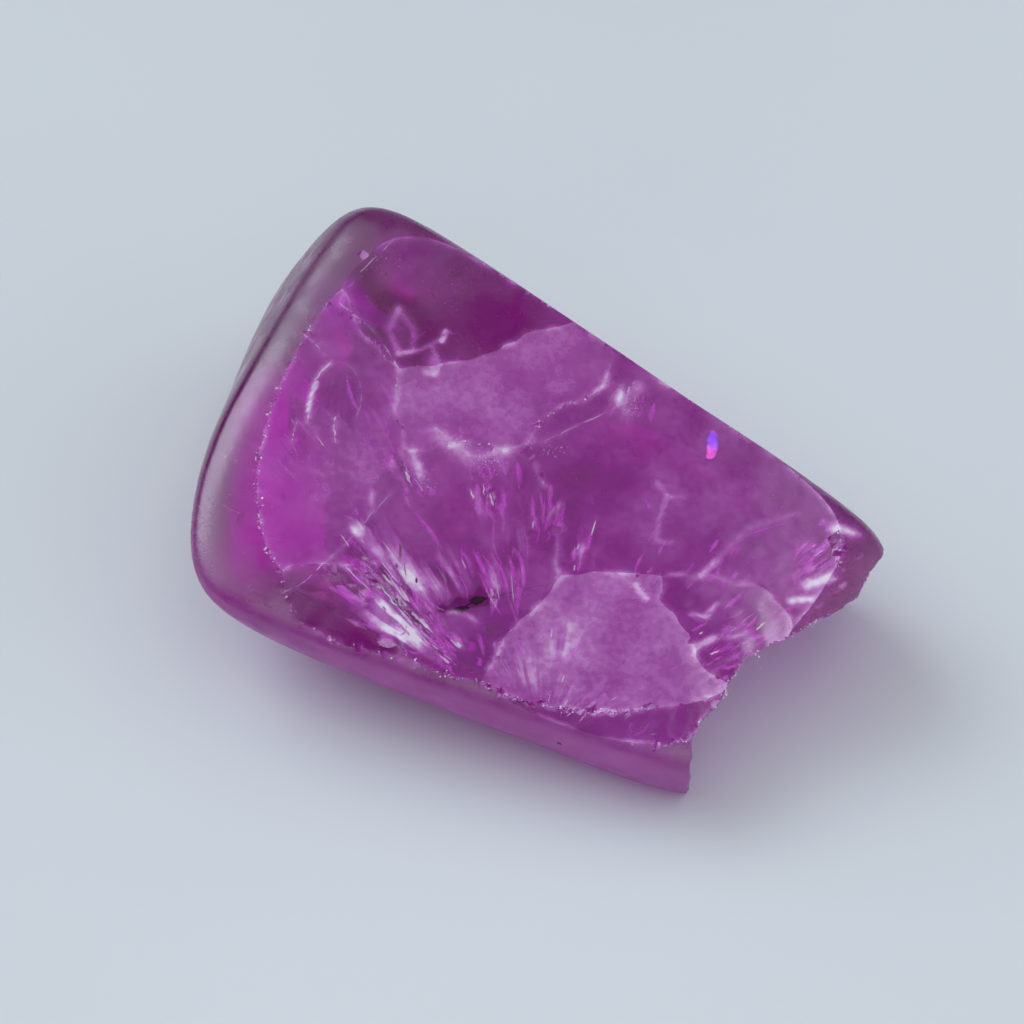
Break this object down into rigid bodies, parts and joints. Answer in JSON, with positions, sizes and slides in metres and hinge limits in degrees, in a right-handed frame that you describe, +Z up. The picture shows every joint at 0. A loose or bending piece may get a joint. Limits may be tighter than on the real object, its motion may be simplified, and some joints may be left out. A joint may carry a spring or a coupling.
{
  "type": "rough zircon",
  "caption": "Broken chunk of clear purple-pink crystal with a worn rounded skin, a bowl-shaped fracture on top and a notched broken end.",
  "frame": {"origin": "middle of the footprint's bounding rectangle, on the surface that the stone lies on", "axes": "+X along the longest extent towards the broken, notched end; +Z up; -Y towards the low side of the slanting broken top"},
  "size_m": [0.0366, 0.0244, 0.014],
  "materials": {
    "crystal": "clear purple-pink crystal, glossy where polished, finely frosted along its broken edges"
  },
  "bodies": {
    "root": {"rough_zircon": "crystal"}
  },
  "joints": []
}
